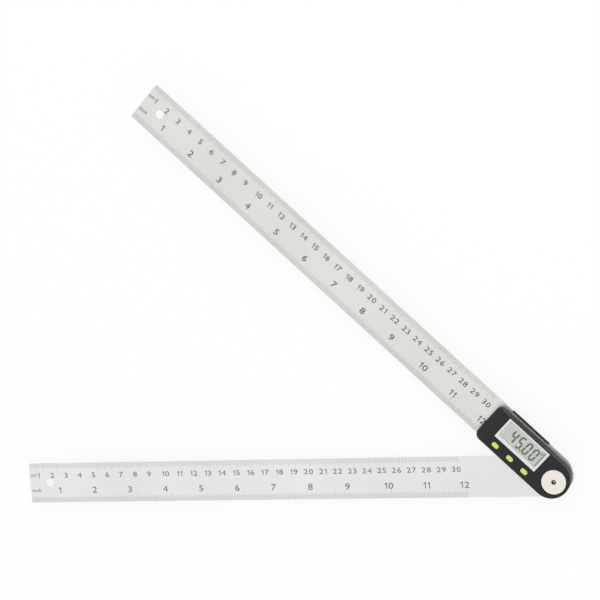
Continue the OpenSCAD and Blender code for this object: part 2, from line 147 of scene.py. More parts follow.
class DisplaySettings(bpy.types.PropertyGroup):
    """What the display shows, and the sizes of its digits."""

    reading: bpy.props.StringProperty(
        name="Reading", description="Digits on the display", default="45.00"
    )
    height: bpy.props.FloatProperty(
        name="Digit height", description="Height of a digit", default=9.3 * MM, unit="LENGTH"
    )
    pitch: bpy.props.FloatProperty(
        name="Digit pitch",
        description="Distance from one digit to the next",
        default=5.7 * MM,
        unit="LENGTH",
    )
    slant: bpy.props.FloatProperty(
        name="Slant", description="Lean of the digits", default=math.radians(3), subtype="ANGLE"
    )


class StageSettings(bpy.types.PropertyGroup):
    """Light and floor."""

    floor_size: bpy.props.FloatProperty(
        name="Floor", description="Side of the square floor", default=6.0, unit="LENGTH"
    )
    floor_glow: bpy.props.FloatProperty(
        name="Floor glow",
        description="Share of the floor that is plain white to the camera",
        default=0.84,
    )
    key_power: bpy.props.FloatProperty(
        name="Key light", description="Power of the large soft light", default=4.5, unit="POWER"
    )
    sky: bpy.props.FloatProperty(
        name="Sky", description="Strength of the even light all round", default=0.9
    )


# ---------------------------------------------------------------- small helpers


def linear(hex_colour):
    """An sRGB hex colour as linear red, green, blue and 1."""
    parts = [int(hex_colour[i : i + 2], 16) / 255 for i in (1, 3, 5)]
    return [c / 12.92 if c <= 0.04045 else ((c + 0.055) / 1.055) ** 2.4 for c in parts] + [1.0]


def add_node(tree, kind, settings=None, links=None):
    """One shader node, with its attributes or socket values set, and its inputs linked."""
    made = tree.nodes.new("ShaderNode" + kind)
    for key, value in (settings or {}).items():
        if isinstance(key, str) and hasattr(made, key):
            setattr(made, key, value)
        else:
            made.inputs[key].default_value = value
    for key, source in (links or {}).items():
        tree.links.new(source, made.inputs[key])
    return made


def new_material(name, settings):
    """A material with one Principled shader, and its tree and shader."""
    made = bpy.data.materials.new(name)
    made.use_nodes = True
    tree = made.node_tree
    shader = tree.nodes["Principled BSDF"]
    for key, value in settings.items():
        shader.inputs[key].default_value = value
    made.diffuse_color = settings["Base Color"]
    return made, tree, shader


def pattern_place(tree, turn=0.0, scale=(1, 1, 1)):
    """Object coordinates, turned about Z and scaled, for a pattern that stays on its piece."""
    place = add_node(tree, "TexCoord")
    turned = add_node(
        tree,
        "Mapping",
        {"vector_type": "TEXTURE", "Rotation": (0, 0, turn)},
        {"Vector": place.outputs["Object"]},
    )
    scaled = add_node(tree, "Mapping", {"Scale": scale}, {"Vector": turned.outputs["Vector"]})
    return scaled.outputs["Vector"]


def noise(tree, scale, detail, place=None, roughness=0.5):
    """A noise on the piece, at its own coordinates unless others are given."""
    made = add_node(
        tree,
        "TexNoise",
        {"Scale": scale, "Detail": detail, "Roughness": roughness},
        {"Vector": place or pattern_place(tree)},
    )
    return made.outputs["Fac"]


def roughness_range(tree, shader, source, low, high):
    """Lets a pattern drive the roughness between two values."""
    ranged = add_node(tree, "MapRange", {"To Min": low, "To Max": high}, {"Value": source})
    tree.links.new(ranged.outputs["Result"], shader.inputs["Roughness"])


def bump(tree, shader, source, depth):
    """A bump of a real depth, in metres."""
    made = add_node(tree, "Bump", {"Strength": 1.0, "Distance": depth}, {"Height": source})
    tree.links.new(made.outputs["Normal"], shader.inputs["Normal"])


def tint(hex_colour, factor):
    """The same colour, darker or lighter."""
    parts = [min(255, max(0, round(int(hex_colour[i : i + 2], 16) * factor))) for i in (1, 3, 5)]
    return "#%02x%02x%02x" % tuple(parts)


def shades(tree, shader, source, colour, dark, light):
    """Lets a pattern vary the base colour between a darker and a lighter tint of it."""
    mixed = add_node(tree, "Mix", {"data_type": "RGBA"}, {"Factor": source})
    mixed.inputs["A"].default_value = linear(tint(colour, dark))
    mixed.inputs["B"].default_value = linear(tint(colour, light))
    tree.links.new(mixed.outputs["Result"], shader.inputs["Base Color"])


# ---------------------------------------------------------------- finishes


def rolled_stainless(name, colour, turn):
    """Rolled and linished stainless rule steel: fine lines along the arm, and a soft sheen across, part of
    it painted into the colour as a cloud.
    """
    made, tree, shader = new_material(
        name, {"Base Color": linear(colour), "Metallic": 1.0, "Roughness": 0.34, "Anisotropic": 0.35}
    )
    # Linishing lines about 0.25 mm apart and 40 mm long, drawn coarse so that they show
    lines = noise(tree, 1.0, 3.0, pattern_place(tree, turn, (25, 4000, 25)), roughness=0.6)
    # Painted sheen: a cloud of lighter and darker patches over the lines, which are the steel's own marks
    cloud = noise(tree, 14.0, 2.0, pattern_place(tree, turn))
    both = add_node(tree, "Math", {"operation": "MULTIPLY"}, {0: lines, 1: cloud})
    shades(tree, shader, both.outputs["Value"], colour, 0.91, 1.06)
    roughness_range(tree, shader, lines, 0.26, 0.44)
    bump(tree, shader, lines, 0.006 * MM)
    return made


def moulded_abs(name, colour, low=0.4, high=0.56):
    """Moulded ABS with a spark-eroded texture: a fine even grain that breaks up the gloss."""
    made, tree, shader = new_material(
        name, {"Base Color": linear(colour), "IOR": 1.53, "Specular IOR Level": 0.36}
    )
    # Grain of about 0.5 mm, coarser than the real one so that it shows
    grain = noise(tree, 2000.0, 2.0)
    wear = noise(tree, 90.0, 4.0)
    shades(tree, shader, wear, colour, 0.9, 1.12)
    roughness_range(tree, shader, wear, low, high)
    bump(tree, shader, grain, 0.05 * MM)
    return made


def polished_styrene(name, colour):
    """Glossy moulded polystyrene: smooth, with a slight waviness from the mould."""
    made, tree, shader = new_material(
        name, {"Base Color": linear(colour), "IOR": 1.59, "Roughness": 0.28}
    )
    wave = noise(tree, 260.0, 1.0)
    roughness_range(tree, shader, wave, 0.22, 0.36)
    bump(tree, shader, wave, 0.01 * MM)
    return made


def silicone_rubber(name, colour):
    """Moulded silicone rubber: a soft matt skin with light bleeding a little into it."""
    made, tree, shader = new_material(
        name,
        {
            "Base Color": linear(colour),
            "IOR": 1.41,
            "Roughness": 0.42,
            "Subsurface Weight": 0.12,
            "Subsurface Radius": (0.9, 1.0, 0.3),
            "Subsurface Scale": 0.6 * MM,
        },
    )
    dust = noise(tree, 1800.0, 2.0)
    shades(tree, shader, dust, colour, 0.95, 1.03)
    roughness_range(tree, shader, dust, 0.34, 0.5)
    return made


def turned_metal(name, colour):
    """Metal faced on a lathe: fine rings round the pivot axis that fan the light."""
    made, tree, shader = new_material(name, {"Base Color": linear(colour), "Metallic": 1.0})
    groove = 0.12 * MM
    # The texture repeats after tau / (20 * Scale) metres, so this gives one ring per groove
    rings = add_node(
        tree,
        "TexWave",
        {
            "wave_type": "RINGS",
            "rings_direction": "Z",
            "Scale": math.tau / (20 * groove),
            "Distortion": 0.4,
        },
        {"Vector": pattern_place(tree)},
    )
    shades(tree, shader, rings.outputs["Fac"], colour, 0.92, 1.02)
    roughness_range(tree, shader, rings.outputs["Fac"], 0.24, 0.34)
    bump(tree, shader, rings.outputs["Fac"], 0.002 * MM)
    return made


def turned_disc(name, colour, dimple_shade):
    """The faced aluminium disc: bright rings, and shade painted dark on the wall of the drilled dimple at
    its centre.
    """
    made = turned_metal(name, colour)
    tree = made.node_tree
    shader = tree.nodes["Principled BSDF"]
    rings = shader.inputs["Base Color"].links[0].from_socket
    flat = add_node(
        tree, "VectorMath", {"operation": "MULTIPLY", 1: (1, 1, 0)}, {0: pattern_place(tree)}
    )
    radius = add_node(tree, "VectorMath", {"operation": "LENGTH"}, {0: flat.outputs["Vector"]})
    # In shares of this reach from the centre: the end of the drill's bright point, left in the disc's own
    # colour, the start and the end of the dimple's wall, painted dark as shade, and the start of the clean
    # face
    reach = 2 * MM
    point_end, wall_start, wall_end, face_start = 0.12, 0.26, 0.62, 0.95
    share = add_node(tree, "MapRange", {"From Max": reach}, {"Value": radius.outputs["Value"]})
    bands = add_node(tree, "ValToRGB", None, {"Fac": share.outputs["Result"]})
    stops = bands.color_ramp.elements
    stops[0].position, stops[1].position = point_end, face_start
    stops[0].color = stops[1].color = (0, 0, 0, 1)
    for place in (wall_start, wall_end):
        stops.new(place).color = (1, 1, 1, 1)
    # Painted shade: the dimple's wall is mixed towards the dark shade colour
    shaded_rings = add_node(
        tree, "Mix", {"data_type": "RGBA"}, {"Factor": bands.outputs["Color"], "A": rings}
    )
    shaded_rings.inputs["B"].default_value = linear(dimple_shade)
    tree.links.new(shaded_rings.outputs["Result"], shader.inputs["Base Color"])
    return made


def plated_steel(name, colour):
    """Zinc or nickel plated steel: a bright grain with small cloudy patches."""
    made, tree, shader = new_material(name, {"Base Color": linear(colour), "Metallic": 1.0})
    cloud = noise(tree, 700.0, 4.0)
    shades(tree, shader, cloud, colour, 0.9, 1.05)
    roughness_range(tree, shader, cloud, 0.24, 0.42)
    return made


def filled_ink(name, colour):
    """Dark enamel wiped into the etched lines: flat and slightly uneven."""
    made, tree, shader = new_material(name, {"Base Color": linear(colour), "Roughness": 0.6})
    shades(tree, shader, noise(tree, 900.0, 3.0), colour, 0.8, 1.3)
    return made


def liquid_crystal(name, colour):
    """The display's polariser over its reflector: pale, matt, with a faint sparkle."""
    made, tree, shader = new_material(
        name, {"Base Color": linear(colour), "Roughness": 0.5, "IOR": 1.5}
    )
    shades(tree, shader, noise(tree, 3500.0, 1.0), colour, 0.97, 1.03)
    return made


def clear_acrylic(name):
    """Clear cast acrylic: a thin window with sharp, weak reflections."""
    made, tree, shader = new_material(
        name,
        {"Base Color": (1, 1, 1, 1), "Roughness": 0.02, "IOR": 1.49, "Transmission Weight": 1.0},
    )
    roughness_range(tree, shader, noise(tree, 60.0, 2.0), 0.01, 0.04)
    return made


def solder_mask(name, colour):
    """Glass-epoxy board under green solder mask: glossy over faint copper tracks."""
    made, tree, shader = new_material(name, {"Base Color": linear(colour), "Roughness": 0.3})
    tracks = add_node(
        tree, "TexBrick", {"Scale": 300.0, "Mortar Size": 0.03}, {"Vector": pattern_place(tree)}
    )
    shades(tree, shader, tracks.outputs["Fac"], colour, 0.9, 1.25)
    return made


def finishes():
    """Every finish by name, made once."""
    kept = getattr(finishes, "made", None)
    if kept:
        return kept
    tone = bpy.context.scene.angle_finder_finish
    finishes.made = {
        "upper_steel": rolled_stainless("rolled_stainless_upper", tone.steel, 0.0),
        # The lower arm's steel is given a lighter colour than the upper's as painted light
        "lower_steel": rolled_stainless("rolled_stainless_lower", tone.lower_steel, ARM_ANGLE),
        "ink": filled_ink("filled_ink", tone.ink),
        "worn_ink": filled_ink("worn_ink", tone.worn_ink),
        "cover": moulded_abs("moulded_abs_black", tone.cover),
        "rear": moulded_abs("moulded_abs_rear", tint(tone.cover, 0.9), 0.48, 0.64),
        "bezel": polished_styrene("polished_styrene_white", tone.bezel),
        "button": silicone_rubber("silicone_rubber_green", tone.button),
        "display": liquid_crystal("liquid_crystal", tone.display),
        "segment": filled_ink("liquid_crystal_dark", tone.segment),
        # Dark ink painted as the shadow that the frame throws on the display
        "frame_shadow": filled_ink("display_frame_shadow", tint(tone.segment, 1.1)),
        "window": clear_acrylic("clear_acrylic"),
        # The dark second colour is painted shade in the disc's dimple
        "disc": turned_disc("turned_aluminium", "#f4eee6", "#3a322c"),
        "hub": turned_metal("turned_steel", "#b9babb"),
        "brass": turned_metal("turned_brass", "#c8a04a"),
        "strip": plated_steel("spring_brass", "#d3b25e"),
        "screw": plated_steel("zinc_plated_steel", "#a9abad"),
        "cell": plated_steel("nickel_plated_can", "#c9c9c6"),
        "dome": plated_steel("spring_steel_dome", "#bfc0bd"),
        "board": solder_mask("solder_mask_green", "#1f6b3a"),
        "resin": moulded_abs("poured_resin", "#141416", 0.15, 0.25),
        "zebra": silicone_rubber("contact_rubber", "#8f8a86"),
        "acetal": moulded_abs("natural_acetal", "#e3ded2", 0.3, 0.42),
    }
    return finishes.made


NODE_FINISH = {
    "upper_blade": "upper_steel",
    "lower_blade": "lower_steel",
    "front_cover": "cover",
    "display_frame": "bezel",
    "display_window": "window",
    "display_glass": "display",
    "contact_rubbers": "zebra",
    "main_board": "board",
    "board_chip": "resin",
    "switch_domes": "dome",
    "rear_cover": "rear",
    "battery_door": "rear",
    "coin_cell": "cell",
    "contact_negative": "strip",
    "contact_positive": "strip",
    "case_screws": "screw",
    "hub_screws": "screw",
    "pivot_bush": "brass",
    "knob_insert": "brass",
    "button_zero": "button",
    "button_hold": "button",
    "button_reverse": "button",
    "pivot_hub": "hub",
    "thrust_washer": "hub",
    "clamp_stud": "screw",
    "friction_washer": "acetal",
    "sensor_rotor": "board",
    "pivot_cap": "disc",
    "lock_knob": "cover",
}

# ---------------------------------------------------------------- modelling helpers


def deselect():
    """Nothing selected, in object mode."""
    if bpy.context.object and bpy.context.object.mode != "OBJECT":
        bpy.ops.object.mode_set(mode="OBJECT")
    bpy.ops.object.select_all(action="DESELECT")


def pick(pieces):
    """Only these pieces selected, the first of them active."""
    deselect()
    for piece in pieces:
        piece.select_set(True)
    bpy.context.view_layer.objects.active = pieces[0]


def settle(piece):
    """The piece's place goes into its mesh."""
    pick([piece])
    bpy.ops.object.transform_apply(location=True, rotation=True, scale=True)
    return piece


def joined(pieces, name):
    """One piece made of several."""
    pick(pieces)
    if len(pieces) > 1:
        bpy.ops.object.join()
    piece = bpy.context.view_layer.objects.active
    piece.name = name
    piece.data.name = name
    return settle(piece)


def block(low, high):
    """A box between two corners."""
    deselect()
    middle = [(a + b) / 2 for a, b in zip(low, high)]
    bpy.ops.mesh.primitive_cube_add(size=1, location=middle)
    piece = bpy.context.object
    piece.scale = [b - a for a, b in zip(low, high)]
    return settle(piece)


def modified(piece, kind, **settings):
    """The piece with one modifier applied to it."""
    pick([piece])
    step = piece.modifiers.new(kind.lower(), kind)
    for key, value in settings.items():
        setattr(step, key, value)
    bpy.ops.object.modifier_apply(modifier=step.name)
    return piece


def dress(piece, finish):
    """Gives a piece one finish."""
    piece.data.materials.clear()
    piece.data.materials.append(finishes()[finish])
    return piece


# Height of a capital of the plain font against the font's size, then, against a sign's height,
# how much bolder it is drawn and the space between two figures
CAPITAL, BOLDER, SPACE = 0.7, 0.012, 0.23


def lettering(words, height, stretch, thick):
    """Plain bold lettering as a thin mesh, its box starting at X 0 and centred on Y."""
    # The hole in the plain font's 4 is too small for a bolder figure
    bolder = 0 if "4" in words else BOLDER * height
    deselect()
    bpy.ops.object.text_add(location=(0, 0, 0))
    piece = bpy.context.object
    piece.data.body = words
    piece.data.size = (height - 2 * bolder) / CAPITAL
    piece.data.offset = bolder
    piece.data.resolution_u = 3
    piece.data.extrude = thick / 2
    bpy.ops.object.convert(target="MESH")
    piece = bpy.context.object
    piece.scale = (stretch, 1, 1)
    return set_down(settle(piece))


def figure_one(height, thick):
    """The figure 1 with its flag, which the plain font leaves out."""
    stroke, reach, slope = 0.15 * height, 0.38 * height, math.radians(36)
    stem = block((-stroke / 2, -height / 2, -thick / 2), (stroke / 2, height / 2, thick / 2))
    flag = block((-reach, -stroke * 0.4, -thick / 2), (0, stroke * 0.4, thick / 2))
    flag.data.transform(Matrix.Rotation(slope, 4, "Z"))
    flag.data.transform(Matrix.Translation((0, height / 2 - stroke * 0.6, 0)))
    return set_down(joined([stem, flag], "one"))


def set_down(piece):
    """Moves a sign so that its box starts at X 0 and is centred on Y."""
    xs = [v.co.x for v in piece.data.vertices]
    ys = [v.co.y for v in piece.data.vertices]
    piece.data.transform(Matrix.Translation((-min(xs), -(min(ys) + max(ys)) / 2, 0)))
    return piece


def width_of(piece):
    """The width of a sign that starts at X 0."""
    return max(v.co.x for v in piece.data.vertices)


def numeral(number, height, stretch, place, thick):
    """A number, figure by figure, centred at a place."""
    figures = [
        figure_one(height, thick) if char == "1" else lettering(char, height, stretch, thick)
        for char in str(number)
    ]
    space = SPACE * height
    along = -(sum(width_of(f) for f in figures) + space * (len(figures) - 1)) / 2
    for figure in figures:
        wide = width_of(figure)
        figure.data.transform(Matrix.Translation(Vector(place) + Vector((along, 0, 0))))
        along += wide + space
    return joined(figures, "number")


# Points this near to each other are one: in the CAD mesh, and after its edges are eased
WELD, EASED_WELD = 0.001 * MM, 0.004 * MM
# Edges flatter than FLAT are dissolved, sharper than SHARP are eased, and flatter than SMOOTH
# are shaded round
FLAT, SHARP, SMOOTH = math.radians(0.5), math.radians(35), math.radians(32)


def eased_copy(node, body, finish, width):
    """A CAD node's copy with its sharp edges eased, standing for the node."""
    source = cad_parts[node]
    piece = bpy.data.objects.new(node + "_eased", source.data.copy())
    bpy.context.scene.collection.objects.link(piece)
    pick([piece])
    bpy.ops.object.mode_set(mode="EDIT")
    bpy.ops.mesh.select_all(action="SELECT")
    bpy.ops.mesh.remove_doubles(threshold=WELD)
    bpy.ops.mesh.customdata_custom_splitnormals_clear()
    bpy.ops.mesh.dissolve_limited(angle_limit=FLAT)
    bpy.ops.object.mode_set(mode="OBJECT")
    modified(
        piece,
        "BEVEL",
        width=width,
        segments=2,
        limit_method="ANGLE",
        angle_limit=SHARP,
        use_clamp_overlap=True,
    )
    # Where two eased edges meet in a narrow place they leave faces with no area
    bpy.ops.object.mode_set(mode="EDIT")
    bpy.ops.mesh.select_all(action="SELECT")
    bpy.ops.mesh.remove_doubles(threshold=EASED_WELD)
    bpy.ops.mesh.dissolve_degenerate(threshold=EASED_WELD)
    bpy.ops.object.mode_set(mode="OBJECT")
    bpy.ops.object.shade_smooth_by_angle(angle=SMOOTH)
    # Large flat faces keep their own normals, and only the eased edges are shaded round
    modified(piece, "WEIGHTED_NORMAL", mode="FACE_AREA", weight=100, keep_sharp=True)
    dress(piece, finish)
    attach(piece, body)
    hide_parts(node)
    return piece


def oval_plate(middle, bottom, top, length, width):
    """An upright oval plate, its long side along the arm."""
    deselect()
    bpy.ops.mesh.primitive_circle_add(
        vertices=40, radius=width / 2, fill_type="NGON", location=(0, 0, bottom)
    )
    piece = settle(bpy.context.object)
    for v in piece.data.vertices:
        v.co.x += math.copysign((length - width) / 2, v.co.x) + middle[0]
        v.co.y += middle[1]
    pick([piece])
    bpy.ops.object.mode_set(mode="EDIT")
    bpy.ops.mesh.select_all(action="SELECT")
    bpy.ops.mesh.extrude_region_move(TRANSFORM_OT_translate={"value": (0, 0, top - bottom)})
    bpy.ops.mesh.select_all(action="SELECT")
    bpy.ops.mesh.normals_make_consistent(inside=False)
    bpy.ops.object.mode_set(mode="OBJECT")
    return piece


# ---------------------------------------------------------------- graduations

# Lengths of the lines in millimetres, for the first to the last line of one centimetre or inch
CM_LINES = [3.1, 3.1, 3.1, 3.1, 4.0, 3.1, 3.1, 3.1, 3.1, 4.8]
THIRTY_SECOND, SIXTEENTH, EIGHTH, QUARTER, HALF, WHOLE = 3.1, 3.7, 4.1, 4.5, 4.9, 5.3


def inch_line(i):
    """Length of the line at i thirty-seconds of an inch."""
    for step, length in ((32, WHOLE), (16, HALF), (8, QUARTER), (4, EIGHTH), (2, SIXTEENTH)):
        if i % step == 0:
            return length
    return THIRTY_SECOND


INCH_LINES = [inch_line(i) for i in range(1, 33)]
INCH = 25.4 * MM
CM = 10 * MM
# The lines stop short of the arm's edge, where the eased edge starts
LINE_IN = 0.12 * MM
# How far the middle of a number stands before its line: with one figure, and with two
CM_BEFORE = (3.4 * MM, 1.55 * MM)
INCH_BEFORE = (4.15 * MM, 1.45 * MM)
# Height, stretch and distance from the free end of each unit's name
UNIT_NAMES = {"cm": (2.7 * MM, 1.0, 0.7 * MM), "inch": (2.5 * MM, 1.15, 1.1 * MM)}


def graduations(side, unit, lines, count):
    """The lines along one edge of the upper arm: side is +1 for centimetres, -1 for inches."""
    scale = bpy.context.scene.angle_finder_scale
    edge = ARM_HALF - LINE_IN
    unit_lines = []
    for i, length in enumerate(lines, 1):
        x = ARM_START + unit * i / len(lines)
        low, high = sorted((ARM_MIDDLE + side * edge, ARM_MIDDLE + side * (edge - length * MM)))
        unit_lines.append(
            block(
                (x - scale.line / 2, low, ARM_FACE - scale.raised),
                (x + scale.line / 2, high, ARM_FACE + scale.raised),
            )
        )
    return modified(
        joined(unit_lines, "lines"),
        "ARRAY",
        count=count,
        use_relative_offset=False,
        use_constant_offset=True,
        constant_offset_displace=(unit, 0, 0),
    )


def numerals(unit, count, height, row, before):
    """The numbers along one row, each a little before its line."""
    scale = bpy.context.scene.angle_finder_scale
    numbers = []
    for i in range(1, count + 1):
        x = ARM_START + unit * i - before[i >= 10]
        place = (x, ARM_MIDDLE + row, ARM_FACE)
        numbers.append(numeral(i, height, scale.stretch, place, 2 * scale.raised))
    return numbers


def unit_marks():
    """The names of the two units, at the free end of the upper arm."""
    scale = bpy.context.scene.angle_finder_scale
    marks = []
    for words, row in (("cm", scale.cm_row), ("inch", -scale.inch_row)):
        height, stretch, along = UNIT_NAMES[words]
        mark = lettering(words, height, stretch, 2 * scale.raised)
        mark.data.transform(Matrix.Translation((ARM_START + along, ARM_MIDDLE + row, ARM_FACE)))
        marks.append(mark)
    return marks


def arm_scale():
    """All the ink on the upper arm."""
    scale = bpy.context.scene.angle_finder_scale
    ink = [graduations(1, CM, CM_LINES, 30), graduations(-1, INCH, INCH_LINES, 12)]
    ink += numerals(CM, 30, scale.cm_height, scale.cm_row, CM_BEFORE)
    ink += numerals(INCH, 12, scale.inch_height, -scale.inch_row, INCH_BEFORE)
    return joined(ink + unit_marks(), "upper_graduations")


class ANGLEFINDER_OT_graduations(bpy.types.Operator):
    """Centimetre and inch lines and numbers on both arms"""

    bl_idname = "anglefinder.graduations"
    bl_label = "Graduations"

    def execute(self, context):
        upper = dress(arm_scale(), "ink")
        pick([upper])
        bpy.ops.object.duplicate()
        lower = bpy.context.object
        lower.name = lower.data.name = "lower_graduations"
        lower.location = (0, 0, LOWER_FACE - ARM_FACE)
        lower.rotation_euler = (0, 0, ARM_ANGLE)
        dress(settle(lower), "worn_ink")
        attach(upper, HEAD)
        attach(lower, LOWER)
        return {"FINISHED"}


# ---------------------------------------------------------------- display

# Lit bars of each digit: top, upper right, lower right, bottom, lower left, upper left, middle
BARS = {
    "0": "abcdef",
    "1": "bc",
    "2": "abged",
    "3": "abgcd",
    "4": "fgbc",
    "5": "afgcd",
    "6": "afgedc",
    "7": "abc",
    "8": "abcdefg",
    "9": "abcdfg",
}


def bar(x, y, z, length, width, upright):
    """One bar of a digit: a long thin hexagon."""
    deselect()
    radius = width / math.sqrt(3)
    bpy.ops.mesh.primitive_circle_add(vertices=6, radius=radius, fill_type="NGON", location=(0, 0, 0))
    piece = bpy.context.object
    # The circle starts with a point on Y; the turn brings two of its points onto X
    piece.data.transform(Matrix.Rotation(math.radians(30), 4, "Z"))
    for v in piece.data.vertices:
        v.co.x += math.copysign(length / 2 - radius, v.co.x)
    if upright:
        piece.data.transform(Matrix.Rotation(math.radians(90), 4, "Z"))
    piece.data.transform(Matrix.Translation((x, y, z)))
    return piece


# Width of a digit and of its bars, against the digit's height
DIGIT_WIDE, BAR_THICK = 0.45, 0.135
# Length of the upright and level bars, against the distance between the corners that they join
UPRIGHT, LEVEL = 0.94, 0.98


def digit(char, x, y, z, height):
    """The bars of one digit, with its middle at x and y."""
    width = height * DIGIT_WIDE
    thick = height * BAR_THICK
    half = height / 2 - thick / 2
    side = width / 2 - thick / 2
    long_bar, short_bar = half * UPRIGHT, 2 * side * LEVEL
    spots = {
        "a": (0, half, short_bar, False),
        "d": (0, -half, short_bar, False),
        "g": (0, 0, short_bar, False),
        "b": (side, half / 2, long_bar, True),
        "c": (side, -half / 2, long_bar, True),
        "f": (-side, half / 2, long_bar, True),
        "e": (-side, -half / 2, long_bar, True),
    }
    return [bar(x + s[0], y + s[1], z, s[2], thick, s[3]) for k, s in spots.items() if k in BARS[char]]


# Middle of the reading, and of the degree mark after it, on the glass
READING_AT = (-29.5 * MM, 4.4 * MM)
DEGREE_AT = (-17.6 * MM, 8.4 * MM)
POINT_RADIUS = 0.6 * MM
# Heights over the glass: underside of the ink, its thickness, and underside of the window
INK_OVER, INK_THICK, PANE_OVER = 0.02 * MM, 0.01 * MM, 0.06 * MM
# The frame's painted shadow, a dark line on the glass: its middle's distance from the opening's near end,
# half its width, and how far its ends stand in from the opening's sides
SHADOW_IN, SHADOW_HALF, SHADOW_INSET = 0.75 * MM, 0.32 * MM, 0.6 * MM


def reading():
    """The digits of the reading, slanted, as one thin piece on the display's glass."""
    show = bpy.context.scene.angle_finder_display
    z = GLASS_TOP + INK_OVER
    chars = show.reading.replace(".", "")
    point_after = show.reading.index(".") if "." in show.reading else 0
    first = -(len(chars) - 1) / 2 * show.pitch
    marks = []
    for i, char in enumerate(chars):
        marks += digit(char, first + i * show.pitch, 0, z, show.height)
    if point_after:
        deselect()
        x = first + (point_after - 0.5) * show.pitch
        y = -show.height / 2 + POINT_RADIUS
        bpy.ops.mesh.primitive_circle_add(
            vertices=12, radius=POINT_RADIUS, fill_type="NGON", location=(x, y, z)
        )
        marks.append(settle(bpy.context.object))
    piece = joined(marks, "display_digits")
    lean = Matrix.Identity(4)
    lean[0][1] = math.tan(show.slant)
    piece.data.transform(Matrix.Translation((*READING_AT, 0)) @ lean)
    return modified(piece, "SOLIDIFY", thickness=INK_THICK, offset=1)


def degree_mark():
    """The small ring after the reading."""
    deselect()
    bpy.ops.mesh.primitive_torus_add(
        major_radius=0.62 * MM,
        minor_radius=0.2 * MM,
        major_segments=24,
        minor_segments=6,
        location=(*DEGREE_AT, 0),
    )
    piece = settle(bpy.context.object)
    flatten = 0.02
    for v in piece.data.vertices:
        v.co.z = GLASS_TOP + INK_OVER + INK_THICK / 2 + v.co.z * flatten
    return piece


def seal_line():
    """A dark line painted inside the near end of the display as the shadow that the frame throws on the
    glass.
    """
    x = WINDOW_BOX[1][0] - SHADOW_IN
    z = GLASS_TOP + INK_OVER
    return block(
        (x - SHADOW_HALF, WINDOW_BOX[0][1] + SHADOW_INSET, z),
        (x + SHADOW_HALF, WINDOW_BOX[1][1] - SHADOW_INSET, z + INK_THICK),
    )


class ANGLEFINDER_OT_display(bpy.types.Operator):
    """The reading, the degree ring and the frame's painted shadow on the display, and the window over them
    """

    bl_idname = "anglefinder.display"
    bl_label = "Display"

    def execute(self, context):
        digits = dress(joined([reading(), degree_mark()], "display_digits"), "segment")
        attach(digits, HEAD)
        # The frame's shadow on the glass, painted as a dark line
        frame_shadow = seal_line()
        frame_shadow.name = frame_shadow.data.name = "display_frame_shadow"
        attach(dress(frame_shadow, "frame_shadow"), HEAD)
        low, high = WINDOW_BOX
        pane = block((low[0], low[1], GLASS_TOP + PANE_OVER), high)
        pane.name = pane.data.name = "clear_window"
        modified(pane, "BEVEL", width=0.08 * MM, segments=2)
        dress(pane, "window")
        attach(pane, HEAD)
        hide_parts("display_window")
        return {"FINISHED"}


# ---------------------------------------------------------------- finishes on the CAD nodes


class ANGLEFINDER_OT_finishes(bpy.types.Operator):
    """The real finish on every solid that shows"""

    bl_idname = "anglefinder.finishes"
    bl_label = "Finishes"

    def execute(self, context):
        for name, finish in NODE_FINISH.items():
            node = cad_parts[name]
            if not node.material_slots:
                node.data.materials.append(None)
            for slot in node.material_slots:
                slot.material = finishes()[finish]
        return {"FINISHED"}


# ---------------------------------------------------------------- eased and rounded pieces

# Body, finish and width of the eased edge in millimetres, of each copied piece
EASED = {
    "upper_blade": (HEAD, "upper_steel", 0.12),
    "lower_blade": (LOWER, "lower_steel", 0.12),
    "display_frame": (HEAD, "bezel", 0.1),
    "rear_cover": (HEAD, "rear", 0.15),
    "battery_door": ("battery_door", "rear", 0.12),
    "lock_knob": ("lock_knob", "cover", 0.15),
    "pivot_cap": (LOWER, "disc", 0.1),
}
# Body of each button
BUTTONS = {
    "button_zero": "zero_button",
    "button_hold": "hold_button",
    "button_reverse": "reverse_button",
}


class ANGLEFINDER_OT_eased(bpy.types.Operator):
    """Arms, frame, covers, knob and disc with their edges eased, as they leave the press or the mould"""

    bl_idname = "anglefinder.eased"
    bl_label = "Eased edges"

    def execute(self, context):
        for node, (body, finish, width) in EASED.items():
            eased_copy(node, body, finish, width * MM)
        return {"FINISHED"}


# A button's flange: how far it reaches past the cap, its thickness, and its depth under the
# cover's face
FLANGE_LAP, FLANGE_THICK, FLANGE_DEPTH = 0.6 * MM, 0.6 * MM, 1.25 * MM
STEM_RADIUS = 1 * MM
# The cap's dome: its height, how far it reaches in against the cap's width, and its steps
CROWN, CROWN_REACH, CROWN_STEPS = 0.5 * MM, 0.36, 6


